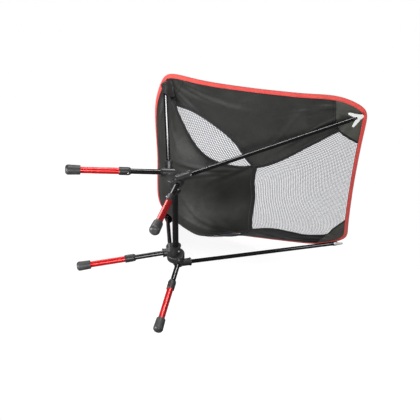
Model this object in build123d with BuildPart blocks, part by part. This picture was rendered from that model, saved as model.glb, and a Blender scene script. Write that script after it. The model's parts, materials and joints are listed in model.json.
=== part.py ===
from build123d import *
import math
import os

# Compact camp chair: two moulded hubs on a crossbar carry four telescopic legs,
# two short seat poles and two long back poles, and the four pole tips stretch a
# fabric and mesh sling. Millimetres, +Z up, the sitter faces -Y, the left hand
# of the sitter is +X. The origin is on the floor in the middle of the chair.

os.makedirs("parts", exist_ok=True)

SIDES = {"left": 1, "right": -1}

# ---- frame layout: points on the +X side, mirrored for the other side ----
HUB = (136.5, 4.6, 209.2)
LEG_ENDS = {
    "front": ((146.0, -36.0, 196.5), (174.2, -189.0, 2.5)),
    "rear": ((143.0, 30.0, 192.5), (175.3, 150.0, 2.5)),
}
POLE_ENDS = {
    "seat": ((153.0, -46.0, 234.5), (243.0, -223.0, 389.5)),
    "back": ((157.0, 36.0, 236.5), (229.3, 239.5, 665.2)),
}

# ---- crossbar and hubs ----
BAR_R, BAR_WALL, BAR_END_X = 8.5, 1.5, 134.0
DISC_R, DISC_IN_X, DISC_OUT_X = 25.0, 127.0, 147.0
COLLAR_R, COLLAR_IN_X = 13.0, 98.0
RIM_R, RIM_LENGTH = 15.5, 5.0
SOCKET_R = {"front": 11.8, "rear": 11.8, "seat": 10.2, "back": 10.5}
MOUTH_EXTRA_R, MOUTH_LENGTH = 1.4, 4.0
BORE_DEPTH = {"front": 18.0, "rear": 20.0, "seat": 20.0, "back": 28.0}
PIN_R, PIN_HEAD_R, PIN_HEAD_H, PIN_X = 2.0, 3.6, 1.4, 112.0

# ---- legs: distances along the leg are counted up from its lower tip ----
UPPER_R, UPPER_WALL = 7.1, 1.0
UPPER_FROM = 80.0
LOWER_R, LOWER_WALL = 8.6, 1.2
LOWER_FROM, LOWER_TO = 9.0, 152.0
CLAMP_FROM, CLAMP_TO, CLAMP_R, CLAMP_TOP_R = 138.0, 168.0, 10.9, 9.0
FOOT_LENGTH, FOOT_R, FOOT_TOP_R = 39.0, 13.4, 12.4
FOOT_ROUND, FOOT_FLAT = 8.0, 1.0
SLIDE_GAP, FIT_GAP, STOP_GAP = 0.3, 0.06, 0.3
BUTTON_AT, BUTTON_R, BUTTON_GAP = 162.0, 2.4, 0.15
BUTTON_IN_R, BUTTON_OUT_R = 9.2, 12.3

# ---- poles ----
POLE_R = {"seat": 6.0, "back": 5.8}
POLE_WALL = 1.0
TIP_R, TIP_LENGTH, TIP_INSERT = 7.0, 13.0, 14.0
BACK_SPLIT, FERRULE_LENGTH = 236.0, 70.0

# ---- sling: six rows from front edge to top edge; each row gives the middle,
# the panel seam and the side edge of the +X half ----
SLING_ROWS = [
    [(0, -242.0, 372.5), (172, -252.0, 379.5), (268, -252.0, 417.5)],
    [(0, -154.0, 313.5), (155, -146.0, 336.5), (273, -134.0, 451.5)],
    [(0, -35.0, 328.5), (137, -15.0, 346.5), (273, -19.0, 517.5)],
    [(0, 86.0, 420.5), (111, 98.0, 428.5), (275, 90.0, 588.5)],
    [(0, 192.0, 543.5), (140, 184.0, 547.5), (272, 177.0, 658.5)],
    [(0, 252.0, 684.5), (140, 251.0, 691.5), (240, 245.0, 713.5)],
]
ROW_SPAN = 5
FABRIC_T, BINDING_T = 1.7, 5.0
CORNER_POWER = 16
BINDING_SCALE = 0.963

# ---- panel seams of the +X half, as (across 0..1, row 0..5) ----
LEAF_LOW = [(0.715, 0.66), (0.625, 1.14), (0.49, 1.9), (0.467, 2.4), (0.505, 2.96)]
LEAF_HIGH = [(0.715, 0.66), (0.745, 1.24), (0.71, 1.9), (0.64, 2.45), (0.505, 2.96)]
BACK_SEAM = [(0.505, 2.96), (0.545, 3.5), (0.605, 3.95), (0.70, 4.41)]
PATCH_TOP = (0.37, 5.3)
PATCH_SIDE = (1.15, 3.66)
PATCH_CORNER = (1.15, 5.3)
FRONT_SEAM = (0.78, -0.3)

# ---- seat pockets and back corner caps ----
POCKET_LENGTH, POCKET_WALL, POCKET_BEYOND = 46.0, 2.2, 3.0
CAP_LENGTH, CAP_R, CAP_BEYOND = 22.0, 9.0, 2.5
HEAD_T, HEAD_APEX, HEAD_ARM, HEAD_SPREAD, HEAD_NOTCH = 5.0, 19.0, 21.0, 16.0, 4.0


def mirrored(point, side):
    return Vector(point[0] * side, point[1], point[2])


def blend_row(points, place):
    """A smooth curve through evenly counted points, at any place along them."""
    last = len(points) - 1
    start = int(min(max(math.floor(place), 0), last - 1))
    t = place - start
    p1, p2 = points[start], points[start + 1]
    p0 = points[start - 1] if start > 0 else p1 * 2 - p2
    p3 = points[start + 2] if start + 2 <= last else p2 * 2 - p1
    bend = p0 * 2 - p1 * 5 + p2 * 4 - p3
    twist = p1 * 3 - p0 - p2 * 3 + p3
    return (p1 * 2 + (p2 - p0) * t + bend * t**2 + twist * t**3) * 0.5


def sling_point(across, row):
    """Middle surface of the sling: across -1..1, row 0 (front) .. 5 (top)."""
    columns = []
    for column, side in ((2, -1), (1, -1), (0, 1), (1, 1), (2, 1)):
        columns.append(blend_row([mirrored(r[column], side) for r in SLING_ROWS], row))
    return blend_row(columns, (across + 1) * 2)


def plan(across, row):
    """The same place seen from above."""
    point = sling_point(across, row)
    return (point.X, point.Y)


def outline(scale, count=104):
    """Rounded outline of the sling from above, a superellipse in the sling's own grid."""
    points = []
    for step in range(count):
        angle = 2 * math.pi * (step + 0.5) / count
        c, s = math.cos(angle), math.sin(angle)
        reach = scale / (abs(c) ** CORNER_POWER + abs(s) ** CORNER_POWER) ** (1 / CORNER_POWER)
        points.append(plan(c * reach, (s * reach + 1) * ROW_SPAN / 2))
    return points


def leg_points(end, side):
    """Socket mouth and lower tip of one leg, with the foot's rounded edge just into the floor."""
    mouth, toe = (mirrored(p, side) for p in LEG_ENDS[end])
    up = (mouth - toe).normalized()
    lean = math.sqrt(1 - up.Z**2)
    tip_z = FOOT_ROUND * (1 - up.Z) + (FOOT_R - FOOT_ROUND) * lean - FOOT_FLAT
    return mouth, mouth - up * ((mouth.Z - tip_z) / up.Z)


def save(piece, name):
    piece.part.label = name
    export_step(piece.part, f"parts/{name}.step")


# ======================= crossbar, hubs and their small parts =======================
with BuildPart() as crossbar:
    with BuildSketch(Plane.YZ.offset(-BAR_END_X)):
        with Locations((HUB[1], HUB[2])):
            Circle(BAR_R)
            Circle(BAR_R - BAR_WALL, mode=Mode.SUBTRACT)
    extrude(amount=2 * BAR_END_X)
    with BuildSketch(Plane.XZ.offset(-HUB[1])):
        with Locations((PIN_X, HUB[2]), (-PIN_X, HUB[2])):
            Circle(PIN_R)
    extrude(amount=BAR_R + 1, both=True, mode=Mode.SUBTRACT)
save(crossbar, "crossbar")


def socket_run(name, side):
    """Start inside the hub, mouth and far end of one socket's axis."""
    ends = LEG_ENDS.get(name) or POLE_ENDS.get(name)
    mouth, far = mirrored(ends[0], side), mirrored(ends[1], side)
    direction = (far - mouth).normalized()
    reach = (mouth - mirrored(HUB, side)).dot(direction)
    return mouth - direction * reach, mouth, direction


for side_name, side in SIDES.items():
    with BuildPart() as hub:
        with BuildSketch(Plane(origin=(DISC_IN_X * side, HUB[1], HUB[2]), z_dir=(side, 0, 0))):
            Circle(DISC_R)
        extrude(amount=DISC_OUT_X - DISC_IN_X)
        fillet(hub.edges(), radius=2.5)
        with BuildSketch(Plane(origin=(COLLAR_IN_X * side, HUB[1], HUB[2]), z_dir=(side, 0, 0))):
            Circle(COLLAR_R)
        extrude(amount=DISC_IN_X - COLLAR_IN_X + 2)
        with BuildSketch(Plane(origin=(COLLAR_IN_X * side, HUB[1], HUB[2]), z_dir=(side, 0, 0))):
            Circle(RIM_R)
        extrude(amount=RIM_LENGTH, taper=12)
        for name in ("front", "rear", "seat", "back"):
            inner, mouth, direction = socket_run(name, side)
            with BuildSketch(Plane(origin=inner, z_dir=direction)):
                Circle(SOCKET_R[name])
            extrude(amount=(mouth - inner).length)
            with BuildSketch(Plane(origin=mouth, z_dir=direction * -1)):
                Circle(SOCKET_R[name] + MOUTH_EXTRA_R)
            extrude(amount=MOUTH_LENGTH, taper=14)
        for name in ("front", "rear", "seat", "back"):
            inner, mouth, direction = socket_run(name, side)
            is_leg = name in LEG_ENDS
            bore_r = UPPER_R + FIT_GAP if is_leg else POLE_R[name]
            depth = BORE_DEPTH[name] + (STOP_GAP if is_leg else 0)
            with BuildSketch(Plane(origin=mouth, z_dir=direction * -1)):
                Circle(bore_r)
            extrude(amount=depth, mode=Mode.SUBTRACT)
        with BuildSketch(Plane(origin=((COLLAR_IN_X - 1) * side, HUB[1], HUB[2]), z_dir=(side, 0, 0))):
            Circle(BAR_R)
        extrude(amount=BAR_END_X - COLLAR_IN_X + 1, mode=Mode.SUBTRACT)
        with BuildSketch(Plane.XZ.offset(-HUB[1])):
            with Locations((PIN_X * side, HUB[2])):
                Circle(PIN_R)
        extrude(amount=RIM_R + 1, both=True, mode=Mode.SUBTRACT)
    save(hub, f"hub_{side_name}")

with BuildPart() as pins:
    for side in SIDES.values():
        with BuildSketch(Plane.XZ.offset(-HUB[1])):
            with Locations((PIN_X * side, HUB[2])):
                Circle(PIN_R)
        extrude(amount=COLLAR_R, both=True)
        for face in (1, -1):
            with BuildSketch(Plane(origin=(PIN_X * side, HUB[1] + COLLAR_R * face, HUB[2]),
                                   z_dir=(0, face, 0))):
                Circle(PIN_HEAD_R)
            extrude(amount=PIN_HEAD_H, taper=20)
save(pins, "hub_rivets")

# ================================ telescopic legs ================================
for side_name, side in SIDES.items():
    for end in LEG_ENDS:
        mouth, tip = leg_points(end, side)
        up = (mouth - tip).normalized()
        length = (mouth - tip).length
        inward = Vector(0, 1 if end == "front" else -1, 0)
        facing = (inward - up * inward.dot(up)).normalized()
        section = Plane(origin=tip, x_dir=facing, z_dir=facing.cross(up))
        leg_axis = Axis(tip, up)
        name = f"{end}_{side_name}"

        with BuildPart() as upper_tube:
            with BuildSketch(Plane(origin=tip + up * UPPER_FROM, z_dir=up)):
                Circle(UPPER_R)
                Circle(UPPER_R - UPPER_WALL, mode=Mode.SUBTRACT)
            extrude(amount=length + BORE_DEPTH[end] - UPPER_FROM)
        save(upper_tube, f"upper_leg_{name}")

        with BuildPart() as lower_tube:
            with BuildSketch(Plane(origin=tip + up * LOWER_FROM, z_dir=up)):
                Circle(LOWER_R)
                Circle(LOWER_R - LOWER_WALL, mode=Mode.SUBTRACT)
            extrude(amount=LOWER_TO - LOWER_FROM)
        save(lower_tube, f"lower_leg_{name}")

        with BuildPart() as clamp:
            with BuildSketch(section):
                with BuildLine():
                    Polyline(
                        (LOWER_R, CLAMP_FROM), (CLAMP_R - 0.6, CLAMP_FROM),
                        (CLAMP_R, CLAMP_FROM + 0.8), (CLAMP_R, CLAMP_TO - 5),
                        (CLAMP_TOP_R, CLAMP_TO), (UPPER_R + SLIDE_GAP, CLAMP_TO),
                        (UPPER_R + SLIDE_GAP, LOWER_TO), (LOWER_R, LOWER_TO), close=True,
                    )
                make_face()
            revolve(axis=leg_axis)
            with BuildSketch(Plane(origin=tip + up * BUTTON_AT, z_dir=facing)):
                Circle(BUTTON_R + BUTTON_GAP)
            extrude(amount=CLAMP_R + 2, mode=Mode.SUBTRACT)
        save(clamp, f"leg_clamp_{name}")

        with BuildPart() as button:
            with BuildSketch(Plane(origin=tip + up * BUTTON_AT + facing * BUTTON_IN_R,
                                   z_dir=facing)):
                Circle(BUTTON_R)
            extrude(amount=BUTTON_OUT_R - BUTTON_IN_R)
            fillet(button.faces().sort_by(Axis(tip, facing))[-1].edges(), radius=1.0)
        save(button, f"lock_button_{name}")

        with BuildPart() as foot:
            with BuildSketch(section):
                with BuildLine():
                    Line((0, 0), (0, LOWER_FROM))
                    Polyline((0, LOWER_FROM), (LOWER_R, LOWER_FROM), (LOWER_R, FOOT_LENGTH),
                             (FOOT_TOP_R - 1, FOOT_LENGTH), (FOOT_TOP_R, FOOT_LENGTH - 1),
                             (FOOT_R, FOOT_ROUND))
                    RadiusArc((FOOT_R, FOOT_ROUND), (FOOT_R - FOOT_ROUND, 0), FOOT_ROUND)
                    Line((FOOT_R - FOOT_ROUND, 0), (0, 0))
                make_face()
            revolve(axis=leg_axis)
            split(bisect_by=Plane.XY, keep=Keep.TOP)
        save(foot, f"foot_{name}")

# ================================ seat and back poles ================================
for side_name, side in SIDES.items():
    seat_mouth, seat_tip = (mirrored(p, side) for p in POLE_ENDS["seat"])
    seat_way = (seat_tip - seat_mouth).normalized()
    seat_length = (seat_tip - seat_mouth).length
    with BuildPart() as seat_pole:
        with BuildSketch(Plane(origin=seat_mouth - seat_way * BORE_DEPTH["seat"], z_dir=seat_way)):
            Circle(POLE_R["seat"])
            Circle(POLE_R["seat"] - POLE_WALL, mode=Mode.SUBTRACT)
        extrude(amount=BORE_DEPTH["seat"] + seat_length - TIP_LENGTH)
    save(seat_pole, f"seat_pole_{side_name}")

    back_mouth, back_tip = (mirrored(p, side) for p in POLE_ENDS["back"])
    back_way = (back_tip - back_mouth).normalized()
    back_length = (back_tip - back_mouth).length
    with BuildPart() as back_lower:
        with BuildSketch(Plane(origin=back_mouth - back_way * BORE_DEPTH["back"], z_dir=back_way)):
            Circle(POLE_R["back"])
            Circle(POLE_R["back"] - POLE_WALL, mode=Mode.SUBTRACT)
        extrude(amount=BORE_DEPTH["back"] + BACK_SPLIT)
    save(back_lower, f"back_pole_lower_{side_name}")

    with BuildPart() as back_upper:
        with BuildSketch(Plane(origin=back_mouth + back_way * BACK_SPLIT, z_dir=back_way)):
            Circle(POLE_R["back"])
            Circle(POLE_R["back"] - POLE_WALL, mode=Mode.SUBTRACT)
        extrude(amount=back_length - BACK_SPLIT - TIP_LENGTH)
    save(back_upper, f"back_pole_upper_{side_name}")

    with BuildPart() as ferrule:
        with BuildSketch(Plane(origin=back_mouth + back_way * (BACK_SPLIT - FERRULE_LENGTH / 2),
                               z_dir=back_way)):
            Circle(POLE_R["back"] - POLE_WALL)
            Circle(POLE_R["back"] - 2 * POLE_WALL, mode=Mode.SUBTRACT)
        extrude(amount=FERRULE_LENGTH)
    save(ferrule, f"back_pole_ferrule_{side_name}")

    for pole, tip, way in (("seat", seat_tip, seat_way), ("back", back_tip, back_way)):
        with BuildPart() as tip_cap:
            with BuildSketch(Plane(origin=tip, z_dir=way * -1)):
                Circle(TIP_R)
            extrude(amount=TIP_LENGTH)
            fillet(tip_cap.faces().sort_by(Axis(tip, way))[-1].edges(), radius=3.5)
            with BuildSketch(Plane(origin=tip - way * TIP_LENGTH, z_dir=way * -1)):
                Circle(POLE_R[pole] - POLE_WALL)
            extrude(amount=TIP_INSERT)
        save(tip_cap, f"{pole}_pole_tip_{side_name}")

# ===================================== sling =====================================
# The sling is one smooth surface. It is cut from above along its seams, and each
# panel is then given its thickness along one slanted direction, which lies near
# the outward side of both the seat and the backrest.
GRID, EDGE = 21, 1.05
FLOOR_Z, TOP_Z = 240.0, 780.0
OUTWARD = Vector(0, 0.6, -0.8)

grid_points = []
for i in range(GRID):
    row = (-EDGE + 2 * EDGE * i / (GRID - 1) + 1) * ROW_SPAN / 2
    grid_points.append([sling_point(-EDGE + 2 * EDGE * j / (GRID - 1), row) for j in range(GRID)])
middle = Face.make_surface_from_array_of_points(grid_points, tol=0.05, min_deg=3)


def trimmed(area):
    """The faces of the sling surface that lie over an area drawn on the floor."""
    with BuildPart() as prism:
        with BuildSketch(Plane.XY.offset(FLOOR_Z)):
            add(area)
        extrude(amount=TOP_Z - FLOOR_Z)
    return middle.intersect(prism.part).faces()


def panel(face, thickness, inset=0.5):
    """A solid panel on one trimmed face, with a share of its thickness inside it."""
    with BuildPart() as piece:
        extrude(face.moved(Location(OUTWARD * -thickness * inset)), amount=thickness, dir=OUTWARD)
    return piece


def seam_points(seam, side):
    return [plan(across * side, row) for across, row in seam]


with BuildSketch() as sling_area:
    with BuildLine():
        Spline(*outline(1.0), periodic=True)
    make_face()

with BuildSketch() as panel_area:
    with BuildLine():
        Spline(*outline(BINDING_SCALE), periodic=True)
    make_face()

with BuildSketch() as rim_area:
    add(sling_area.sketch)
    add(panel_area.sketch, mode=Mode.SUBTRACT)
save(panel(trimmed(rim_area.sketch)[0], BINDING_T), "edge_binding")

with BuildSketch() as seat_area:
    with BuildLine():
        Spline(*seam_points(LEAF_LOW, 1))
        Line(seam_points(LEAF_LOW, 1)[-1], seam_points(LEAF_LOW, -1)[-1])
        Spline(*seam_points(LEAF_LOW, -1))
        Polyline(seam_points(LEAF_LOW, 1)[0], plan(*FRONT_SEAM),
                 plan(-FRONT_SEAM[0], FRONT_SEAM[1]), seam_points(LEAF_LOW, -1)[0])
    make_face()
    add(panel_area.sketch, mode=Mode.INTERSECT)
save(panel(trimmed(seat_area.sketch)[0], FABRIC_T), "seat_panel")

leaf_areas, patch_areas = {}, {}
for side_name, side in SIDES.items():
    with BuildSketch() as leaf_area:
        with BuildLine():
            Spline(*seam_points(LEAF_LOW, side))
            Spline(*seam_points(LEAF_HIGH, side))
        make_face()
    leaf_areas[side_name] = leaf_area.sketch
    save(panel(trimmed(leaf_area.sketch)[0], FABRIC_T), f"seat_mesh_{side_name}")

    with BuildSketch() as patch_area:
        with BuildLine():
            corner = [BACK_SEAM[-1], PATCH_TOP, PATCH_CORNER, PATCH_SIDE]
            Polyline(*seam_points(corner, side), close=True)
        make_face()
        add(panel_area.sketch, mode=Mode.INTERSECT)
    patch_areas[side_name] = patch_area.sketch
    save(panel(trimmed(patch_area.sketch)[0], FABRIC_T), f"corner_patch_{side_name}")

with BuildSketch() as back_area:
    with BuildLine():
        Spline(*seam_points(BACK_SEAM, 1))
        Line(seam_points(BACK_SEAM, 1)[0], seam_points(BACK_SEAM, -1)[0])
        Spline(*seam_points(BACK_SEAM, -1))
        Polyline(seam_points(BACK_SEAM, 1)[-1], plan(*PATCH_TOP),
                 plan(-PATCH_TOP[0], PATCH_TOP[1]), seam_points(BACK_SEAM, -1)[-1])
    make_face()
    add(panel_area.sketch, mode=Mode.INTERSECT)
save(panel(trimmed(back_area.sketch)[0], FABRIC_T), "back_mesh")

with BuildSketch() as wing_area:
    add(panel_area.sketch)
    add(seat_area.sketch, mode=Mode.SUBTRACT)
    add(back_area.sketch, mode=Mode.SUBTRACT)
    for side_name in SIDES:
        add(leaf_areas[side_name], mode=Mode.SUBTRACT)
        add(patch_areas[side_name], mode=Mode.SUBTRACT)
wings = trimmed(wing_area.sketch)
wings = wings.sort_by(SortBy.AREA)[-2:].sort_by(Axis.X)
save(panel(wings[0], FABRIC_T), "side_panel_right")
save(panel(wings[1], FABRIC_T), "side_panel_left")

# ==================== pockets and caps that hold the pole tips ====================
for side_name, side in SIDES.items():
    seat_mouth, seat_tip = (mirrored(p, side) for p in POLE_ENDS["seat"])
    way = (seat_tip - seat_mouth).normalized()
    with BuildPart() as pocket:
        with BuildSketch(Plane(origin=seat_tip + way * POCKET_BEYOND, z_dir=way * -1)):
            Circle(TIP_R + POCKET_WALL)
        extrude(amount=POCKET_LENGTH)
        fillet(pocket.faces().sort_by(Axis(seat_tip, way))[-1].edges(), radius=4)
        with BuildSketch(Plane(origin=seat_tip, z_dir=way * -1)):
            Circle(TIP_R)
        extrude(amount=POCKET_LENGTH, mode=Mode.SUBTRACT)
    save(pocket, f"seat_pocket_{side_name}")

    back_mouth, back_tip = (mirrored(p, side) for p in POLE_ENDS["back"])
    way = (back_tip - back_mouth).normalized()
    lateral = Vector(side, 0, 0) - way * way.dot(Vector(side, 0, 0))
    flat = Plane(origin=back_tip, x_dir=lateral.normalized(), z_dir=lateral.normalized().cross(way))
    with BuildPart() as cap:
        with BuildSketch(Plane(origin=back_tip + way * CAP_BEYOND, z_dir=way * -1)):
            Circle(CAP_R)
        extrude(amount=CAP_LENGTH)
        with BuildSketch(flat):
            with BuildLine():
                Polyline((0, HEAD_APEX), (-HEAD_SPREAD, -HEAD_ARM), (0, HEAD_NOTCH - CAP_LENGTH / 2),
                         (HEAD_SPREAD, -HEAD_ARM), close=True)
            make_face()
        extrude(amount=HEAD_T / 2, both=True)
        with BuildSketch(Plane(origin=back_tip, z_dir=way * -1)):
            Circle(TIP_R)
        extrude(amount=CAP_LENGTH * 2, mode=Mode.SUBTRACT)
    save(cap, f"corner_cap_{side_name}")
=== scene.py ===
"""Compact folding camp chair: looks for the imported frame, in metres, +Z up."""
import json
import math

import bmesh
import bpy
import numpy as np
from mathutils import Matrix, Vector


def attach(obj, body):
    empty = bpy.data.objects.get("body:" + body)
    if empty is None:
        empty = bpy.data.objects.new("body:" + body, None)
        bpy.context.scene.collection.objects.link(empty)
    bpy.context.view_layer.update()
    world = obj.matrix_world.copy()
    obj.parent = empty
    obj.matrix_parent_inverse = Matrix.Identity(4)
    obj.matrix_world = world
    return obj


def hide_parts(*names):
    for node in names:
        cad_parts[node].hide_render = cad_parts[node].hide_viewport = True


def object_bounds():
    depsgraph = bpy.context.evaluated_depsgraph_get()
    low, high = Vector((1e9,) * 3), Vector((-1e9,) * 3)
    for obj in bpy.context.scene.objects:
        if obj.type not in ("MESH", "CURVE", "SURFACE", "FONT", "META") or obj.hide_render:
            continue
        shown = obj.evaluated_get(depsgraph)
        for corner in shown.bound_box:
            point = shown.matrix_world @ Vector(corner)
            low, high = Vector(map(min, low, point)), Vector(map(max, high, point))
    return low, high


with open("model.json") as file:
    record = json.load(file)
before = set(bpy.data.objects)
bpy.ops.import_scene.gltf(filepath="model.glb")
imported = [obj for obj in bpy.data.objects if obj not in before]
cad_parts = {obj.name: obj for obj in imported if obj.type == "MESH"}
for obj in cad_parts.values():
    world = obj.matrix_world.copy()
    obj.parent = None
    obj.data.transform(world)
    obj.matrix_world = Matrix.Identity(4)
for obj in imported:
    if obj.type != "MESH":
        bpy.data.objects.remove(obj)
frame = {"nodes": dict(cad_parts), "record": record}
cad_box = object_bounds()
nodes = frame["nodes"]
ROOT = "frame_and_sling"
MM = 0.001
SIDES = {"left": 1, "right": -1}

# =============================================================================
# Camera: the chair lies on its right side, seen from behind and below
# =============================================================================
CAMERA_PLACE = Vector((1.461, 1.2286, -0.9404))
CAMERA_RIGHT = Vector((0.0176, 0.7138, 0.7002))
CAMERA_UP = Vector((0.7615, -0.4633, 0.4532))
CAMERA_LENS = 70.05


def make_camera():
    """A 70 mm camera, rolled so that the chair's left side is at the top."""
    data = bpy.data.cameras.new("camera")
    data.lens = CAMERA_LENS
    data.sensor_width = 36.0
    data.clip_start, data.clip_end = 0.05, 50.0
    camera = bpy.data.objects.new("camera", data)
    bpy.context.scene.collection.objects.link(camera)
    right = CAMERA_RIGHT.normalized()
    back = right.cross(CAMERA_UP).normalized()
    up = back.cross(right)
    turn = Matrix((right, up, back)).transposed()
    camera.matrix_world = Matrix.Translation(CAMERA_PLACE) @ turn.to_4x4()
    bpy.context.scene.camera = camera


make_camera()

# =============================================================================
# The sling's middle surface, the same rows as the CAD model, in millimetres
# =============================================================================
SLING_ROWS = [
    [(0, -242.0, 372.5), (172, -252.0, 379.5), (268, -252.0, 417.5)],
    [(0, -154.0, 313.5), (155, -146.0, 336.5), (273, -134.0, 451.5)],
    [(0, -35.0, 328.5), (137, -15.0, 346.5), (273, -19.0, 517.5)],
    [(0, 86.0, 420.5), (111, 98.0, 428.5), (275, 90.0, 588.5)],
    [(0, 192.0, 543.5), (140, 184.0, 547.5), (272, 177.0, 658.5)],
    [(0, 252.0, 684.5), (140, 251.0, 691.5), (240, 245.0, 713.5)],
]
ROW_SPAN = 5.0
CORNER_POWER = 16
UNDER_BINDING = 0.985

# Seams of the left half, as (u, v) points; the right half mirrors them
LEAF_FRONT = (0.715, 0.66)
SEAT_BACK = (0.505, 2.96)
PATCH_CORNER = (0.70, 4.41)
WING_END_V = 3.92
LEAF_LOW = [LEAF_FRONT, (0.625, 1.14), (0.49, 1.9), (0.467, 2.4), SEAT_BACK]
LEAF_HIGH = [LEAF_FRONT, (0.745, 1.24), (0.71, 1.9), (0.64, 2.45), SEAT_BACK]
BACK_SEAM = [SEAT_BACK, (0.545, 3.5), (0.605, 3.95), PATCH_CORNER]
PATCH_LINE = [PATCH_CORNER, (0.61, 4.67), (0.51, 4.93)]
WING_SEAM = [PATCH_CORNER, (0.775, 4.24), (0.885, 4.08), (0.98, WING_END_V)]
FRONT_SEAM = [(0.78, 0.0), (0.75, 0.33), LEAF_FRONT]
SEAM_BOW = 0.10


def knot_weights(count, place):
    """Catmull-Rom weights of evenly counted knots at each place, one row a place."""
    place = np.asarray(place, float).ravel()
    start = np.clip(np.floor(place), 0, count - 2).astype(int)
    t = place - start
    parts = [
        -t + 2 * t**2 - t**3,
        2 - 5 * t**2 + 3 * t**3,
        t + 4 * t**2 - 3 * t**3,
        -(t**2) + t**3,
    ]
    weights = np.zeros((len(place), count + 2))
    for k, part in enumerate(parts):
        weights[np.arange(len(place)), start + k] += part / 2
    inner = weights[:, 1:-1]
    inner[:, 0] += 2 * weights[:, 0]
    inner[:, 1] -= weights[:, 0]
    inner[:, -1] += 2 * weights[:, -1]
    inner[:, -2] -= weights[:, -1]
    return inner


KNOTS = np.array(
    [[[-r[2][0], *r[2][1:]], [-r[1][0], *r[1][1:]], r[0], r[1], r[2]] for r in SLING_ROWS]
) * MM


def sling(u, v):
    """Points of the sling's middle surface, u -1..1 across and v 0..5 front to top."""
    u, v = np.broadcast_arrays(np.asarray(u, float), np.asarray(v, float))
    across = knot_weights(5, (u + 1) * 2)
    rows = knot_weights(6, v)
    points = np.einsum("ni,nj,ijk->nk", rows, across, KNOTS)
    return points.reshape(*u.shape, 3)


def sling_normal(u, v):
    """Unit normals pointing away from the sitter."""
    step = 1e-3
    du = sling(np.asarray(u) + step, v) - sling(np.asarray(u) - step, v)
    dv = sling(u, np.asarray(v) + step) - sling(u, np.asarray(v) - step)
    n = np.cross(dv, du)
    return n / np.linalg.norm(n, axis=-1, keepdims=True)


def outline(angle, scale=1.0):
    """(u, v) on the sling's rounded outline, by the angle round its middle."""
    c, s = np.cos(angle), np.sin(angle)
    reach = scale / (np.abs(c) ** CORNER_POWER + np.abs(s) ** CORNER_POWER) ** (1 / CORNER_POWER)
    return c * reach, (s * reach + 1) * ROW_SPAN / 2


def outline_angle(u, v):
    """The angle of a (u, v) point round the sling's middle, for outline()."""
    return math.atan2(v * 2 / ROW_SPAN - 1, u)


def path(points, count):
    """Evenly counted points on a smooth curve through (u, v) points."""
    points = np.asarray(points, float)
    places = np.linspace(0, len(points) - 1, count)
    return knot_weights(len(points), places) @ points


def seat_back_seam(share):
    """v of the seam behind the seat, bowed so that it lies straight on the curved sling."""
    return SEAT_BACK[1] + SEAM_BOW * (1 - share**2)


def across_at(seam, v):
    """How far across a seam lies at each v."""
    fine = path(seam, 120)
    order = np.argsort(fine[:, 1])
    return np.interp(v, fine[order, 1], fine[order, 0])


# =============================================================================
# Folds: soft creases of the stretched cloth, in the sling's own grid
# =============================================================================
# (from u, v), (to u, v), height in mm (outward), half width in u
FOLDS = [
    ((0.86, 0.25), (0.35, 1.5), 2.2, 0.035),
    ((0.84, 0.22), (0.62, 2.2), 1.6, 0.035),
    ((0.90, 0.45), (0.86, 2.6), 1.6, 0.035),
    ((0.88, 4.5), (0.60, 3.0), 1.8, 0.035),
    ((0.90, 4.5), (0.80, 2.4), 1.6, 0.030),
    ((0.93, 4.4), (0.93, 2.9), 1.0, 0.025),
    ((0.83, 0.18), (0.10, 0.7), 2.4, 0.040),
    ((0.70, 0.45), (0.20, 1.1), 2.0, 0.030),
    ((0.55, 2.9), (0.10, 2.1), 2.2, 0.040),
    ((0.50, 2.8), (0.25, 1.2), 2.0, 0.035),
    ((0.42, 2.6), (0.05, 1.5), 1.8, 0.035),
    ((0.86, 4.6), (0.20, 4.2), 1.2, 0.060),
    ((0.86, 4.55), (0.30, 3.5), 1.0, 0.060),
    ((0.55, 3.0), (0.95, 3.4), 1.6, 0.035),
]
V_TO_U = 0.52
FOLD_WIDTH = 0.62
FOLD_HEIGHT = 2.1


def folds(u, v):
    """Height of the creases, outward, in metres: a ridge with a trough beside it."""
    height = np.zeros(np.shape(u))
    for index, (start, end, tall, width) in enumerate(FOLDS):
        for side in (1, -1):
            shift = 0.02 * math.sin(5.1 * index + side)
            x0, y0 = start[0] * side, start[1] * V_TO_U
            x1, y1 = (end[0] + shift) * side, end[1] * V_TO_U
            dx, dy = x1 - x0, y1 - y0
            length = math.hypot(dx, dy)
            px, py = np.asarray(u) - x0, np.asarray(v) * V_TO_U - y0
            t = (px * dx + py * dy) / length**2
            half = width * FOLD_WIDTH
            off = (px * dy - py * dx) / length
            bow = 0.03 * np.sin(math.pi * t) * math.cos(3.3 * index + 2 * side)
            fade = np.clip(t * 4, 0, 1) * np.clip((1 - t) * 1.6, 0, 1)
            ridge = np.exp(-(((off - bow) / half) ** 2))
            trough = 0.5 * np.exp(-(((off - bow - 1.5 * half) / half) ** 2))
            height += FOLD_HEIGHT * tall * MM * fade * (ridge - trough)
    return height


def hump(x, centre, half):
    """A smooth bump of height 1."""
    return np.exp(-(((x - centre) / half) ** 2))


def settled(u, v):
    """The shifted u of the cloth's right half, slack because the chair lies on it."""
    return (u + 0.062 * hump(v, 3.5, 0.42) * hump(u, -0.54, 0.13)
            - 0.042 * hump(v, 4.42, 0.27) * hump(u, -0.72, 0.12))


def cloth(u, v, lift=0.0):
    """Points of the cloth with its folds, lifted outward by lift metres."""
    u, v = np.broadcast_arrays(np.asarray(u, float), np.asarray(v, float))
    height = folds(u, v) + lift + 0.022 * hump(u, -0.43, 0.21) * hump(v, 2.0, 0.9)
    u = settled(u, v)
    points = sling(u, v) + sling_normal(u, v) * height[..., None]
    pressed = np.clip((-u - 0.5) / 0.5, 0, 1) * hump(v, 3.0, 1.15)
    points[..., 0] += 0.009 * pressed
    return points


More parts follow.
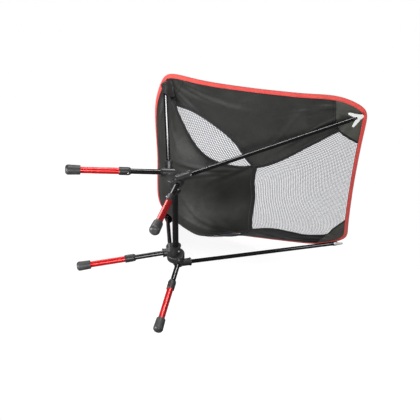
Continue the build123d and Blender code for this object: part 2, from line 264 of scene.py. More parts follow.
# =============================================================================
# Mesh helpers
# =============================================================================
def add_object(name, verts, faces, material, smooth=True, uvs=None):
    """A mesh object in the scene, with one uv for each of its points."""
    mesh = bpy.data.meshes.new(name)
    mesh.from_pydata([tuple(p) for p in verts], [], [tuple(f) for f in faces])
    mesh.update()
    if uvs is not None:
        layer = mesh.uv_layers.new(name="cloth")
        loops = np.zeros(len(mesh.loops), int)
        mesh.loops.foreach_get("vertex_index", loops)
        layer.data.foreach_set("uv", np.asarray(uvs, float)[loops].ravel())
    mesh.polygons.foreach_set("use_smooth", [smooth] * len(mesh.polygons))
    mesh.materials.append(material)
    piece = bpy.data.objects.new(name, mesh)
    bpy.context.scene.collection.objects.link(piece)
    return piece


def grid_faces(rows, cols, wrap_rows=False, wrap_cols=False):
    """Quads of a grid of points, closed along its rows or columns if wrapped."""
    faces = []
    for i in range(rows if wrap_rows else rows - 1):
        for j in range(cols if wrap_cols else cols - 1):
            a, b = i, (i + 1) % rows
            c, d = j, (j + 1) % cols
            faces.append((a * cols + c, a * cols + d, b * cols + d, b * cols + c))
    return faces


def metric_uv(points):
    """Distances along and across a grid of points, in metres."""
    rows, cols = points.shape[:2]
    across = np.linalg.norm(np.diff(points, axis=1), axis=2)
    along = np.linalg.norm(np.diff(points, axis=0), axis=2)
    x = np.concatenate([np.zeros((rows, 1)), np.cumsum(across, 1)], 1)
    x -= x[:, cols // 2][:, None]
    y = np.concatenate([[0], np.cumsum(along[:, cols // 2])])[:, None].repeat(cols, 1)
    return np.stack([x, y], -1).reshape(-1, 2)


def cloth_panel(name, u, v, material):
    """A panel of the sling on a grid of (u, v), as a thin closed sheet."""
    points = cloth(u, v)
    rows, cols = u.shape
    piece = add_object(name, points.reshape(-1, 3), grid_faces(rows, cols), material,
                       uvs=metric_uv(points))
    thicken(piece, CLOTH_THICKNESS)
    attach(piece, ROOT)
    return piece


def thicken(piece, thickness):
    """Gives a sheet its thickness, half on each side."""
    shell = piece.modifiers.new("thickness", "SOLIDIFY")
    shell.thickness = thickness
    shell.offset = 0


def surface_area(u, v):
    """Area of a grid panel, in square metres."""
    p = cloth(u, v)
    a, b = p[1:, 1:] - p[:-1, :-1], p[1:, :-1] - p[:-1, 1:]
    return float(np.linalg.norm(np.cross(a, b), axis=-1).sum() / 2)


# =============================================================================
# Materials
# =============================================================================
def new_material(name):
    """A material with its node tree and its Principled shader."""
    material = bpy.data.materials.new(name)
    material.use_nodes = True
    tree = material.node_tree
    shader = tree.nodes["Principled BSDF"]
    return material, tree, shader


def add_node(tree, kind, **values):
    """A node; each value sets the input of that name, or else a property."""
    node = tree.nodes.new(kind)
    for key, value in values.items():
        if key in node.inputs:
            node.inputs[key].default_value = value
        else:
            setattr(node, key, value)
    return node


def object_noise(tree, scale, detail=3.0, roughness=0.5):
    place = add_node(tree, "ShaderNodeTexCoord")
    noise = add_node(tree, "ShaderNodeTexNoise", Scale=scale, Detail=detail, Roughness=roughness)
    tree.links.new(place.outputs["Object"], noise.inputs["Vector"])
    return noise.outputs["Fac"]


def ramp(tree, source, stops):
    node = add_node(tree, "ShaderNodeValToRGB")
    elements = node.color_ramp.elements
    while len(elements) < len(stops):
        elements.new(0.5)
    for element, (place, colour) in zip(elements, stops):
        element.position = place
        element.color = (*colour, 1.0)
    tree.links.new(source, node.inputs["Fac"])
    return node.outputs["Color"]


def maths(tree, operation, a, b=0.5):
    node = add_node(tree, "ShaderNodeMath", operation=operation)
    for slot, value in ((0, a), (1, b)):
        if isinstance(value, (int, float)):
            node.inputs[slot].default_value = value
        else:
            tree.links.new(value, node.inputs[slot])
    return node.outputs[0]


def bump(tree, shader, height, strength, distance):
    node = add_node(tree, "ShaderNodeBump", Strength=strength, Distance=distance)
    tree.links.new(height, node.inputs["Height"])
    before = shader.inputs["Normal"]
    if before.is_linked:
        tree.links.new(before.links[0].from_socket, node.inputs["Normal"])
    tree.links.new(node.outputs["Normal"], shader.inputs["Normal"])


def mix_colour(tree, factor, a, b, kind="MIX"):
    node = add_node(tree, "ShaderNodeMix", data_type="RGBA", blend_type=kind)
    for slot, value in ((0, factor), (6, a), (7, b)):
        if isinstance(value, (int, float)):
            node.inputs[slot].default_value = value
        elif isinstance(value, tuple):
            node.inputs[slot].default_value = (*value, 1.0)
        else:
            tree.links.new(value, node.inputs[slot])
    return node.outputs[2]


def weave_height(tree, pitch):
    """Plain weave over and under, from the cloth's own measured coordinates."""
    uv = add_node(tree, "ShaderNodeUVMap", uv_map="cloth")
    split = add_node(tree, "ShaderNodeSeparateXYZ")
    tree.links.new(uv.outputs["UV"], split.inputs[0])
    turn = math.pi / pitch
    warp = maths(tree, "SINE", maths(tree, "MULTIPLY", split.outputs["X"], turn))
    weft = maths(tree, "SINE", maths(tree, "MULTIPLY", split.outputs["Y"], turn))
    cross = maths(tree, "MULTIPLY", warp, weft)
    return maths(tree, "MULTIPLY_ADD", cross, 0.5)


def fabric_material(name, dark, light, pitch=0.0011, sheen=0.25, roughness=0.62):
    """Plain-woven coated polyester: weave relief with painted shade darkening its hollows, soft
    creases and uneven dye.
    """
    material, tree, shader = new_material(name)
    patches = object_noise(tree, 14.0, 4.0, 0.55)
    base = ramp(tree, patches, [(0.32, dark), (0.68, light)])
    weave = weave_height(tree, pitch)
    # painted shade: the colour is darkened to 0.72 in the hollows of the weave, where shade would
    # fall
    weave_hollow_shade = ramp(tree, weave, [(0.0, (0.72,) * 3), (1.0, (1.0,) * 3)])
    colour = mix_colour(tree, 1.0, base, weave_hollow_shade, "MULTIPLY")
    tree.links.new(colour, shader.inputs["Base Color"])
    shader.inputs["Roughness"].default_value = roughness
    shader.inputs["Sheen Weight"].default_value = sheen
    shader.inputs["Sheen Roughness"].default_value = 0.45
    shader.inputs["Specular IOR Level"].default_value = 0.28
    bump(tree, shader, weave, 0.35, 0.0003)
    bump(tree, shader, object_noise(tree, 38.0, 3.0, 0.5), 0.55, 0.003)
    bump(tree, shader, object_noise(tree, 11.0, 2.0, 0.4), 0.55, 0.012)
    return material


def tape_material(name, dark, light, pitch=0.0009, roughness=0.7, sheen=0.3):
    """Ribbed woven tape: ribs run across its length."""
    material, tree, shader = new_material(name)
    uv = add_node(tree, "ShaderNodeUVMap", uv_map="cloth")
    split = add_node(tree, "ShaderNodeSeparateXYZ")
    tree.links.new(uv.outputs["UV"], split.inputs[0])
    rib = maths(tree, "SINE", maths(tree, "MULTIPLY", split.outputs["Y"], 2 * math.pi / pitch))
    rib = maths(tree, "MULTIPLY_ADD", rib, 0.5)
    base = ramp(tree, object_noise(tree, 30.0, 4.0, 0.6), [(0.3, dark), (0.7, light)])
    # painted shade: the colour is darkened to 0.78 in the hollows between the ribs, where shade
    # would fall
    shade = ramp(tree, rib, [(0.0, (0.78,) * 3), (1.0, (1.0,) * 3)])
    colour = mix_colour(tree, 1.0, base, shade, "MULTIPLY")
    tree.links.new(colour, shader.inputs["Base Color"])
    shader.inputs["Roughness"].default_value = roughness
    shader.inputs["Sheen Weight"].default_value = sheen
    bump(tree, shader, rib, 0.4, 0.0003)
    bump(tree, shader, object_noise(tree, 90.0, 2.0), 0.25, 0.001)
    return material


def moulded_material(name, dark, light, roughness=0.42, grain=900.0, grain_depth=0.00012):
    """Satin moulded nylon or rubber with a fine spark-eroded grain."""
    material, tree, shader = new_material(name)
    base = ramp(tree, object_noise(tree, 60.0, 5.0, 0.6), [(0.3, dark), (0.7, light)])
    tree.links.new(base, shader.inputs["Base Color"])
    rough = ramp(tree, object_noise(tree, 45.0, 4.0),
                 [(0.3, (roughness - 0.06,) * 3), (0.7, (roughness + 0.08,) * 3)])
    tree.links.new(rough, shader.inputs["Roughness"])
    bump(tree, shader, object_noise(tree, grain, 2.0), 0.3, grain_depth)
    return material


def anodised_material(name, dark, light, metallic, roughness, coat=0.0):
    """Anodised aluminium tube: faint drawing marks and slightly uneven dye."""
    material, tree, shader = new_material(name)
    base = ramp(tree, object_noise(tree, 25.0, 4.0, 0.6), [(0.3, dark), (0.7, light)])
    tree.links.new(base, shader.inputs["Base Color"])
    rough = ramp(tree, object_noise(tree, 70.0, 5.0, 0.7),
                 [(0.35, (roughness,) * 3), (0.75, (roughness + 0.07,) * 3)])
    tree.links.new(rough, shader.inputs["Roughness"])
    shader.inputs["Metallic"].default_value = metallic
    shader.inputs["Specular IOR Level"].default_value = 0.5 if metallic else 0.28
    shader.inputs["Coat Weight"].default_value = coat
    shader.inputs["Coat Roughness"].default_value = 0.06
    bump(tree, shader, object_noise(tree, 300.0, 2.0), 0.03, 0.00005)
    return material


FABRIC = fabric_material("black_fabric", (0.0135, 0.0137, 0.0124), (0.024, 0.0242, 0.0220),
                         sheen=0.04, roughness=0.55)
PATCH = fabric_material("grey_patch_fabric", (0.055, 0.056, 0.047), (0.098, 0.099, 0.085),
                        pitch=0.0008, sheen=0.10, roughness=0.45)
TAPE = tape_material("black_tape", (0.005, 0.005, 0.005), (0.009, 0.009, 0.009),
                     roughness=0.85, sheen=0.0)
BINDING = tape_material("red_binding", (0.74, 0.048, 0.036), (0.84, 0.080, 0.064))
STITCH = tape_material("red_thread", (0.50, 0.02, 0.02), (0.62, 0.04, 0.03))
DARK_STITCH = tape_material("grey_thread", (0.05, 0.05, 0.05), (0.08, 0.08, 0.08))
BLACK_TUBE = anodised_material("black_anodised", (0.0035, 0.0035, 0.004),
                               (0.006, 0.006, 0.0065), 0.0, 0.12, 0.35)
RED_TUBE = anodised_material("red_anodised", (0.52, 0.006, 0.008), (0.62, 0.012, 0.012),
                             0.45, 0.24, 0.2)
BARE_TUBE = anodised_material("bare_aluminium", (0.60, 0.60, 0.62), (0.72, 0.72, 0.74),
                              1.0, 0.32)
HUB = moulded_material("hub_nylon", (0.012, 0.012, 0.013), (0.022, 0.022, 0.023), 0.36)
CLAMP = moulded_material("clamp_nylon", (0.009, 0.009, 0.0095), (0.018, 0.018, 0.019), 0.40)
RUBBER = moulded_material("foot_rubber", (0.020, 0.020, 0.020), (0.042, 0.042, 0.041), 0.48,
                          600.0, 0.0002)
CHROME = anodised_material("chromed_steel", (0.70, 0.70, 0.71), (0.82, 0.82, 0.83), 1.0, 0.10)
CAP = moulded_material("silver_white_nylon", (0.72, 0.72, 0.70), (0.82, 0.82, 0.80), 0.34)
NET = moulded_material("mesh_yarn", (0.060, 0.064, 0.092), (0.100, 0.105, 0.145), 0.60)

SLOT_MATERIALS = {
    "tube_black": BLACK_TUBE, "tube_red": RED_TUBE, "bare_aluminium": BARE_TUBE,
    "hub_plastic": HUB, "clamp_plastic": CLAMP, "rubber": RUBBER, "chrome": CHROME,
    "steel": BARE_TUBE, "cap_silver": CAP, "fabric_black": FABRIC, "fabric_grey": PATCH,
    "mesh_black": NET, "binding_red": BINDING,
}
for entry in frame["record"]["subparts"]:
    mesh = nodes[entry["node"]].data
    mesh.materials.clear()
    mesh.materials.append(SLOT_MATERIALS[entry["material_slot"]])

# =============================================================================
# Solid cloth panels
# =============================================================================
CLOTH_THICKNESS, POCKET_THICKNESS = 0.0005, 0.0008


def declare(node_names, area=None):
    """Hides the CAD parts that a stretched sheet stands for; area is not used."""
    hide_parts(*node_names)


def make_seat_panel():
    v = np.linspace(0.045, SEAT_BACK[1], 62)[:, None]
    edge = across_at(FRONT_SEAM[:-1] + LEAF_LOW, v)
    s = np.linspace(-1, 1, 71)[None, :]
    u, v = edge * s, v + SEAM_BOW * (1 - s**2) * (v / SEAT_BACK[1]) ** 5
    piece = cloth_panel("seat_cloth", u, v, FABRIC)
    declare(["seat_panel"], surface_area(u, v))


def wing_grid(side):
    """A side panel's grid, from the seams along its inner side out to the binding."""
    inner = np.concatenate([
        path(FRONT_SEAM, 12)[:-1], path(LEAF_HIGH, 42)[:-1], path(BACK_SEAM, 27),
    ])
    inner[0] = (0.79, 0.04)
    start = outline_angle(0.80, 0.0375)
    end = outline_angle(UNDER_BINDING, WING_END_V)
    u_out, v_out = outline(np.linspace(start, end, len(inner)), UNDER_BINDING)
    s = np.linspace(0, 1, 40)[None, :] ** 0.9
    u = inner[:, :1] * (1 - s) + u_out[:, None] * s
    v = inner[:, 1:] * (1 - s) + v_out[:, None] * s
    return u * side, v


def make_wings():
    for side_name, side in SIDES.items():
        u, v = wing_grid(side)
        piece = cloth_panel(f"wing_cloth_{side_name}", u, v, FABRIC)
        declare([f"side_panel_{side_name}"],
                surface_area(u, v))


def make_patches():
    for side_name, side in SIDES.items():
        start = outline_angle(UNDER_BINDING, WING_END_V)
        end = outline_angle(0.50, 4.9625)
        u_out, v_out = outline(np.linspace(start, end, 40), UNDER_BINDING)
        s = np.linspace(0.02, 1, 24)[None, :]
        u = (PATCH_CORNER[0] * (1 - s) + u_out[:, None] * s) * side
        v = PATCH_CORNER[1] * (1 - s) + v_out[:, None] * s
        piece = cloth_panel(f"corner_cloth_{side_name}", u, v, PATCH)
        declare([f"corner_patch_{side_name}"],
                surface_area(u, v))


make_seat_panel()
make_wings()
make_patches()

# =============================================================================
# Open net panels: hexagonal holes, as real geometry
# =============================================================================
NET_PITCH_U, NET_PITCH_V = 0.0165, 0.0305
HOLE_SHARE = 0.715
HOLE_INSET = -0.00025
BACK_NET_V = (2.95, 4.95)
SEAT_NET_V = (0.62, 2.98)
HEXAGON = [(0, 2), (1, 1), (1, -1), (0, -2), (-1, -1), (-1, 1)]


def net_cells(inside, u_range, v_range):
    """Centres of the hexagon cells that lie inside the panel."""
    u0, u1 = u_range
    v0, v1 = v_range
    cells = []
    for j in range(int((v1 - v0) / NET_PITCH_V) + 2):
        v = v0 + j * NET_PITCH_V
        shift = 0.5 * (j % 2)
        for i in range(int((u1 - u0) / NET_PITCH_U) + 2):
            u = u0 + (i + shift) * NET_PITCH_U
            if inside(u, v):
                cells.append((i, j, u, v))
    return cells


def net_panel(name, inside, u_range, v_range):
    """A knitted net: each cell is a ring between its hexagon and its smaller hexagonal hole."""
    cells = net_cells(inside, u_range, v_range)
    corner_index, corners, holes, faces = {}, [], [], []
    for i, j, u, v in cells:
        ring = []
        for a, b in HEXAGON:
            key = (2 * i + (j % 2) + a, 3 * j + b)
            if key not in corner_index:
                corner_index[key] = len(corners)
                corners.append((u + a * NET_PITCH_U / 2, v + b * NET_PITCH_V / 3))
            ring.append(corner_index[key])
        holes.append((u, v, ring))
    corners = np.array(corners)
    outer = cloth(corners[:, 0], corners[:, 1])
    hole_uv = []
    for u, v, _ in holes:
        for a, b in HEXAGON:
            hole_uv.append((u + a * NET_PITCH_U / 2 * HOLE_SHARE,
                            v + b * NET_PITCH_V / 3 * HOLE_SHARE))
    hole_uv = np.array(hole_uv)
    inner = cloth(hole_uv[:, 0], hole_uv[:, 1], HOLE_INSET)
    base = len(corners)
    for n, (_, _, ring) in enumerate(holes):
        for k in range(6):
            nxt = (k + 1) % 6
            faces.append((ring[k], ring[nxt], base + n * 6 + nxt, base + n * 6 + k))
    p = np.concatenate([outer, inner])
    piece = add_object(name, p, faces, NET, smooth=False)
    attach(piece, ROOT)
    f = np.array(faces)
    a, b = p[f[:, 2]] - p[f[:, 0]], p[f[:, 3]] - p[f[:, 1]]
    return piece, float(np.linalg.norm(np.cross(a, b), axis=1).sum() / 2)


def make_back_net():
    def inside(u, v):
        if v < BACK_NET_V[0] or v > BACK_NET_V[1]:
            return False
        seam = BACK_SEAM if v < PATCH_CORNER[1] else PATCH_LINE
        return abs(u) < float(across_at(seam, v)) + 0.008

    piece, area = net_panel("back_net", inside, (-0.72, 0.72), BACK_NET_V)
    declare(["back_mesh"], area)


def make_seat_nets():
    for side_name, side in SIDES.items():
        def inside(u, v):
            if v < SEAT_NET_V[0] + 0.02 or v > SEAT_NET_V[1] - 0.01:
                return False
            low, high = across_at(LEAF_LOW, v), across_at(LEAF_HIGH, v)
            return low - 0.006 < abs(u) < high + 0.006

        limits = (0.44, 0.78) if side > 0 else (-0.78, -0.44)
        piece, area = net_panel(f"seat_net_{side_name}", inside, limits, SEAT_NET_V)
        declare([f"seat_mesh_{side_name}"], area)


make_back_net()
make_seat_nets()

# =============================================================================
# Tapes and the red binding: ribbons with a real section
# =============================================================================
def ribbon(name, uv, section, material, closed=False):
    """Sweeps a section of (across, outward) metres along a (u, v) path of the sling."""
    u, v = uv[:, 0], uv[:, 1]
    points, normals = cloth(u, v), sling_normal(u, v)
    if closed:
        tangents = np.roll(points, -1, 0) - np.roll(points, 1, 0)
    else:
        tangents = np.gradient(points, axis=0)
    tangents /= np.linalg.norm(tangents, axis=1, keepdims=True)
    sideways = np.cross(tangents, normals)
    sideways /= np.linalg.norm(sideways, axis=1, keepdims=True)
    rings = [points + sideways * a + normals * b for a, b in section]
    verts = np.stack(rings, 1)
    count, width = verts.shape[:2]
    faces = grid_faces(count, width, wrap_rows=closed, wrap_cols=True)
    if not closed:
        faces.append(tuple(range(width)))
        faces.append(tuple((count - 1) * width + k for k in reversed(range(width))))
    run = np.concatenate([[0], np.cumsum(np.linalg.norm(np.diff(points, axis=0), axis=1))])
    around = np.array([a for a, _ in section])
    uvs = np.stack([around[None, :].repeat(count, 0), run[:, None].repeat(width, 1)], -1)
    piece = add_object(name, verts.reshape(-1, 3), faces, material, uvs=uvs.reshape(-1, 2))
    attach(piece, ROOT)
    return piece, float(run[-1])


def tape_section(width, outward, inward):
    """A slightly crowned flat tape that wraps both faces of the cloth."""
    half = width / 2
    edge = 0.0004
    return [(-half, 0), (-half + edge, outward), (-half * 0.3, outward + 0.0002),
            (half * 0.3, outward + 0.0002), (half - edge, outward), (half, 0),
            (half - edge, -inward), (-half + edge, -inward)]


def stitches(name, uv, rows, material, pitch=0.0042, length=0.0026, width=0.00055, closed=False):
    """Small raised thread runs along a path; rows are (across, outward) metres."""
    if closed:
        uv = np.concatenate([uv, uv[:1]])
    points, normals = cloth(uv[:, 0], uv[:, 1]), sling_normal(uv[:, 0], uv[:, 1])
    run = np.concatenate([[0], np.cumsum(np.linalg.norm(np.diff(points, axis=0), axis=1))])
    tangents = np.gradient(points, axis=0)
    places = np.arange(pitch / 2, run[-1] - pitch / 2, pitch)
    at = np.stack([np.interp(places, run, points[:, k]) for k in range(3)], 1)
    n = np.stack([np.interp(places, run, normals[:, k]) for k in range(3)], 1)
    t = np.stack([np.interp(places, run, tangents[:, k]) for k in range(3)], 1)
    t /= np.linalg.norm(t, axis=1, keepdims=True)
    side = np.cross(t, n)
    side /= np.linalg.norm(side, axis=1, keepdims=True)
    verts, faces = [], []
    profile = [(-0.5, 0.25), (-0.36, 0.9), (0.36, 0.9), (0.5, 0.25)]
    for across, outward in rows:
        sign = 1 if outward > 0 else -1
        for k in range(len(places)):
            base = len(verts)
            centre = at[k] + side[k] * across + n[k] * outward
            for along, tall in profile:
                swell = 0.6 + 0.4 * tall
                for w, h in ((-0.5, 0.0), (0.0, 1.0), (0.5, 0.0)):
                    verts.append(centre + t[k] * along * length
                                 + side[k] * w * width * swell
                                 + n[k] * sign * h * tall * width * 0.7)
            for a in range(3):
                for b in range(2):
                    p = base + a * 3 + b
                    faces.append((p, p + 3, p + 4, p + 1) if sign > 0 else (p, p + 1, p + 4, p + 3))
    piece = add_object(name, verts, faces, material, uvs=np.zeros((len(verts), 2)))
    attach(piece, ROOT)


def half_path(points, side, count):
    """A seam's (u, v) points on the left or the right half."""
    uv = path(points, count)
    uv[:, 0] *= side
    return uv


def make_tapes():
    section = tape_section(0.010, 0.0011, 0.0011)
    narrow = tape_section(0.006, 0.0009, 0.0009)
    rows = [(-0.0036, 0.0014), (0.0036, 0.0014), (-0.0036, -0.0012), (0.0036, -0.0012)]
    share = np.linspace(-1, 1, 50)
    seam = np.stack([SEAT_BACK[0] * share, seat_back_seam(share)], 1)
    ribbon("seat_back_tape", seam, tape_section(0.013, 0.0013, 0.0013), TAPE)
    stitches("seat_back_stitches", seam,
             [(-0.005, 0.0016), (0.005, 0.0016), (-0.005, -0.0014), (0.005, -0.0014)], DARK_STITCH)
    for side_name, side in SIDES.items():
        for label, line, shape in (
            ("leaf_low", LEAF_LOW, section), ("leaf_high", LEAF_HIGH, section),
            ("back_seam", BACK_SEAM, section), ("patch_line", PATCH_LINE, narrow),
            ("wing_seam", WING_SEAM, narrow), ("front_seam", FRONT_SEAM, narrow),
        ):
            uv = half_path(line, side, 46)
            ribbon(f"{label}_tape_{side_name}", uv, shape, TAPE)
            if shape is section:
                stitches(f"{label}_stitches_{side_name}", uv, rows, DARK_STITCH)


def make_binding():
    count = 420
    fine = np.linspace(0, 2 * math.pi, 4000, endpoint=False)
    p = sling(*outline(fine))
    run = np.concatenate([[0], np.cumsum(np.linalg.norm(np.diff(p, axis=0), axis=1))])
    even = np.interp(np.linspace(0, run[-1], count, endpoint=False), run, fine)
    uv = np.stack(outline(even, 0.999), 1)
    outside = [(0.0120, 0.0015), (0.0090, 0.0019), (0.0045, 0.0022), (0.0012, 0.0021),
               (0.0000, 0.0011), (-0.0004, 0.0), (0.0000, -0.0011), (0.0012, -0.0021),
               (0.0045, -0.0022), (0.0090, -0.0019), (0.0120, -0.0015)]
    inside = [(0.0120, -0.0009), (0.0040, -0.0014), (0.0012, -0.0011), (0.0006, 0.0),
              (0.0012, 0.0011), (0.0040, 0.0014), (0.0120, 0.0009)]
    piece, length = ribbon("red_edge_binding", uv, outside + inside, BINDING, closed=True)
    declare(["edge_binding"], None)
    stitches("binding_stitches", uv, [(0.0102, 0.0022), (0.0102, -0.0022)], STITCH, closed=True)


# =============================================================================
# Pockets over the seat pole tips, and swallow-tail caps on the back pole tips
# =============================================================================
# The left poles, from the hub's socket to the tip, in metres
SEAT_POLE = ((0.153, -0.046, 0.2345), (0.2430, -0.2230, 0.3895))
BACK_POLE = ((0.157, 0.036, 0.2365), (0.2293, 0.2395, 0.6652))
SLEEVE_RADIUS, SLEEVE_CLEARANCE, SLEEVE_LIMIT = 0.013, 0.0085, 0.03
POCKET_GAP = 0.0011

# Half of the cap's outline in mm: (along the pole past the tip, aside), from the apex
CAP_HALF = [(20.0, 0.0), (17.5, 3.4), (10.0, 6.0), (4.5, 9.0), (-2.0, 12.9), (-9.0, 16.6),
            (-12.4, 16.9), (-13.2, 13.6), (-8.6, 8.8), (-4.0, 4.4), (-0.5, 1.2)]
# Levels of its rounded edge: (scale, height in mm)
CAP_LEVELS = [(0.86, -3.2), (1.0, -2.2), (1.0, 1.2), (0.93, 2.1), (0.78, 2.6)]
# Faces of one half of its flat ends, by index along the outline
CAP_APEX_RING = (0, 10, 11)
CAP_ARM_RINGS = [(0, 1, 2, 10), (2, 3, 9, 10), (3, 4, 8, 9), (4, 5, 7, 8), (5, 6, 7)]
CAP_SIZE, CAP_BACK, CAP_RISE, CAP_MIDDLE = 1.2, 4.5, 3.5, 3.0
CAP_FACES = (0.55, 0.46, -0.70)


def mirrored(point, side):
    """A point of the left side, or its mirror image on the right."""
    return np.array((point[0] * side, point[1], point[2]))


def make_pockets():
    """A reinforcement sewn to the front corner, standing proud over the pole's tip."""
    for side_name, side in SIDES.items():
        mouth, tip = (mirrored(p, side) for p in SEAT_POLE)
        way = (tip - mouth) / np.linalg.norm(tip - mouth)
        share = np.linspace(0, 1, 34)[None, :]
        v = np.linspace(0.13, 0.60, 40)[:, None] + 0 * share
        edge = 0.93 * (1 - np.abs(v * 2 / ROW_SPAN - 1) ** CORNER_POWER) ** (1 / CORNER_POWER)
        u = (0.745 * (1 - share) + edge * share) * side
        base, outward = cloth(u, v), sling_normal(u, v)
        along = np.clip((base - mouth) @ way, 0, np.linalg.norm(tip - mouth))
        nearest = mouth + along[..., None] * way
        gap = nearest - base
        height = np.einsum("ijk,ijk->ij", gap, outward)
        aside = np.linalg.norm(gap - height[..., None] * outward, axis=-1)
        swell = np.clip(height + SLEEVE_CLEARANCE, 0, SLEEVE_LIMIT)
        lift = POCKET_GAP + swell * np.exp(-((aside / SLEEVE_RADIUS) ** 4))
        points = base + outward * lift[..., None]
        piece = add_object(f"pocket_{side_name}", points.reshape(-1, 3),
                           grid_faces(*u.shape), FABRIC, uvs=metric_uv(base))
        thicken(piece, POCKET_THICKNESS)
        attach(piece, ROOT)
        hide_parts(f"seat_pocket_{side_name}")


def make_caps():
    """Silver swallow-tail: an apex past the tip, two arms back along the pole."""
    edge = CAP_HALF + [(a, -b) for a, b in reversed(CAP_HALF[1:])]
    count = len(edge)
    end_rings = [CAP_APEX_RING, *CAP_ARM_RINGS]
    end_rings += [tuple(-k % count for k in ring) for ring in CAP_ARM_RINGS]
    for side_name, side in SIDES.items():
        mouth, tip = (mirrored(p, side) for p in BACK_POLE)
        way = (tip - mouth) / np.linalg.norm(tip - mouth)
        outward = mirrored(CAP_FACES, side)
        outward = outward - way * outward.dot(way)
        outward /= np.linalg.norm(outward)
        sideways = np.cross(outward, way)
        verts = []
        for scale, tall in CAP_LEVELS:
            inset = 1 - (1 - scale) * 0.45
            for a, b in edge:
                bend = -0.010 * abs(b) ** 1.9
                along = (CAP_MIDDLE + (a - CAP_MIDDLE) * inset) * CAP_SIZE - CAP_BACK
                aside = b * inset * CAP_SIZE
                verts.append(tip + (way * along + sideways * aside
                                    + outward * (tall + bend + CAP_RISE)) * MM)
        faces = grid_faces(len(CAP_LEVELS), count, wrap_cols=True)
        last = len(faces)
        top = (len(CAP_LEVELS) - 1) * count
        for ring in end_rings:
            faces.append(ring)
            faces.append(tuple(top + k for k in reversed(ring)))
        piece = add_object(f"cap_{side_name}", verts, faces, CAP)
        work = bmesh.new()
        work.from_mesh(piece.data)
        bmesh.ops.recalc_face_normals(work, faces=work.faces)
        work.to_mesh(piece.data)
        work.free()
        for face in piece.data.polygons[last:]:
            face.use_smooth = False
        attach(piece, ROOT)
        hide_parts(f"corner_cap_{side_name}")


make_tapes()
make_binding()
make_pockets()
make_caps()

# =============================================================================
# Ground, light and world
# =============================================================================
middle = (Vector(cad_box[0]) + Vector(cad_box[1])) / 2
SIDE_GROUND_X, SIDE_GROUND_LEAN = -0.190, 0.190
GROUND_SHADE, GROUND_GLOW = 0.34, 0.84
AMBIENT = 0.14
STRIP_LENGTH, STRIP_WIDTH, STRIP_AWAY = 1.5, 0.26, 1.8
STRIP_TURN, STRIP_POWER = 68, 36
# Name, place from the chair's middle, diameter in metres, power in watts
LIGHTS = [
    ("key_left", (1.9, 0.1, 0.2), 0.5, 2.5),
    ("camera_fill", (0.8, 1.1, -1.35), 0.6, 17),
    ("rim_above", (0.9, 1.5, 0.9), 0.6, 12),
    ("from_below", (0.30, -0.50, -1.7), 0.7, 46),
    ("inside_fill", (0.5, -1.7, 0.7), 1.2, 16),
]


def ground_material(name, radius):
    """White paper: one-sided, and faded out away from its middle."""
    material, tree, shader = new_material(name)
    shader.inputs["Base Color"].default_value = (*(GROUND_SHADE,) * 3, 1)
    shader.inputs["Roughness"].default_value = 0.9
    shader.inputs["Specular IOR Level"].default_value = 0.0
    glow = add_node(tree, "ShaderNodeEmission", Strength=GROUND_GLOW)
    both = add_node(tree, "ShaderNodeAddShader")
    tree.links.new(shader.outputs[0], both.inputs[0])
    tree.links.new(glow.outputs[0], both.inputs[1])
    place = add_node(tree, "ShaderNodeTexCoord")
    away = add_node(tree, "ShaderNodeVectorMath", operation="LENGTH")
    tree.links.new(place.outputs["Object"], away.inputs[0])
    edge = add_node(tree, "ShaderNodeMapRange", interpolation_type="SMOOTHSTEP")
    edge.inputs["From Min"].default_value = radius * 0.45
    edge.inputs["From Max"].default_value = radius * 0.95
    tree.links.new(away.outputs["Value"], edge.inputs["Value"])
    facing = add_node(tree, "ShaderNodeNewGeometry")
    hidden = maths(tree, "MAXIMUM", edge.outputs["Result"], facing.outputs["Backfacing"])
    clear = add_node(tree, "ShaderNodeBsdfTransparent")
    mix = add_node(tree, "ShaderNodeMixShader")
    tree.links.new(hidden, mix.inputs[0])
    tree.links.new(both.outputs[0], mix.inputs[1])
    tree.links.new(clear.outputs[0], mix.inputs[2])
    out = tree.nodes["Material Output"]
    tree.links.new(mix.outputs[0], out.inputs["Surface"])
    return material


def ground_disc(name, centre, normal, radius):
    """A round piece of floor that only the camera sees."""
    angles = np.linspace(0, 2 * math.pi, 65)[:-1]
    ring = [(radius * math.cos(a), radius * math.sin(a), 0.0) for a in angles]
    mesh = bpy.data.meshes.new(name)
    mesh.from_pydata(ring, [], [tuple(range(64))])
    mesh.materials.append(ground_material(name, radius))
    disc = bpy.data.objects.new(name, mesh)
    disc.rotation_mode = "QUATERNION"
    disc.rotation_quaternion = Vector(normal).to_track_quat("Z", "Y")
    disc.location = centre
    disc.visible_shadow = False
    disc.visible_diffuse = False
    disc.visible_glossy = False
    bpy.context.scene.collection.objects.link(disc)


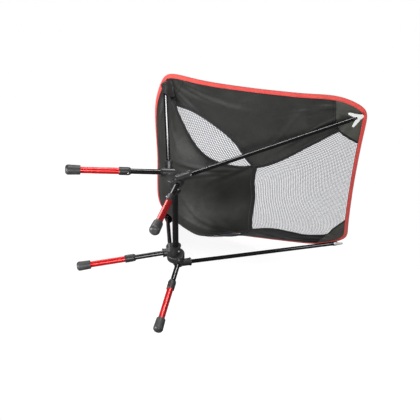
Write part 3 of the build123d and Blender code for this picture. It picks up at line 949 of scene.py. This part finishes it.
def light(name, place, size, power):
    """A round soft box that points at the middle of the chair."""
    data = bpy.data.lights.new(name, "AREA")
    data.shape = "DISK"
    data.size = size
    data.energy = power
    lamp = bpy.data.objects.new(name, data)
    lamp.location = place
    lamp.rotation_mode = "QUATERNION"
    lamp.rotation_quaternion = (middle - Vector(place)).to_track_quat("-Z", "Y")
    bpy.context.scene.collection.objects.link(lamp)


def strip_light(name, pole, turned, power):
    """A long soft box that draws a highlight line along a pole.

    It stands where the pole mirrors it to the camera, turned about the pole from the
    camera by so many degrees, and it makes highlights only.
    """
    near, far = (Vector(end) for end in pole)
    axis = (far - near).normalized()
    centre = (near + far) / 2
    to_lens = (CAMERA_PLACE - centre).normalized()
    across = (to_lens - axis * to_lens.dot(axis)).normalized()
    if axis.cross(across).x < 0:
        turned = -turned
    side = Matrix.Rotation(math.radians(turned), 3, axis) @ across
    way = side * to_lens.dot(across) - axis * to_lens.dot(axis)
    data = bpy.data.lights.new(name, "AREA")
    data.shape = "RECTANGLE"
    data.size, data.size_y = STRIP_LENGTH, STRIP_WIDTH
    data.energy = power
    lamp = bpy.data.objects.new(name, data)
    up = way.cross(axis).normalized()
    turn = Matrix((up.cross(way).normalized(), up, way)).transposed()
    lamp.matrix_world = Matrix.Translation(centre + way * STRIP_AWAY) @ turn.to_4x4()
    lamp.visible_diffuse = False
    bpy.context.scene.collection.objects.link(lamp)


def make_world():
    """A white studio behind the chair that lights it only dimly."""
    world = bpy.data.worlds.new("studio")
    bpy.context.scene.world = world
    world.use_nodes = True
    tree = world.node_tree
    back = tree.nodes["Background"]
    rays = add_node(tree, "ShaderNodeLightPath")
    ambient = (AMBIENT, AMBIENT, AMBIENT * 1.02)
    shown = mix_colour(tree, rays.outputs["Is Camera Ray"], ambient, (1.0, 1.0, 1.0))
    tree.links.new(shown, back.inputs["Color"])
    bpy.context.scene.view_settings.view_transform = "Standard"


make_world()
strip_light("pole_strip", BACK_POLE, STRIP_TURN, STRIP_POWER)
ground_disc("floor", (0, 0, -0.0005), (0, 0, 1), 0.9)
side_centre = Vector((SIDE_GROUND_X - SIDE_GROUND_LEAN * 0.35, 0.0, 0.35))
ground_disc("side_floor", side_centre, (1, 0, SIDE_GROUND_LEAN), 0.95)
for lamp_name, offset, diameter, power in LIGHTS:
    light(lamp_name, middle + Vector(offset), diameter, power)
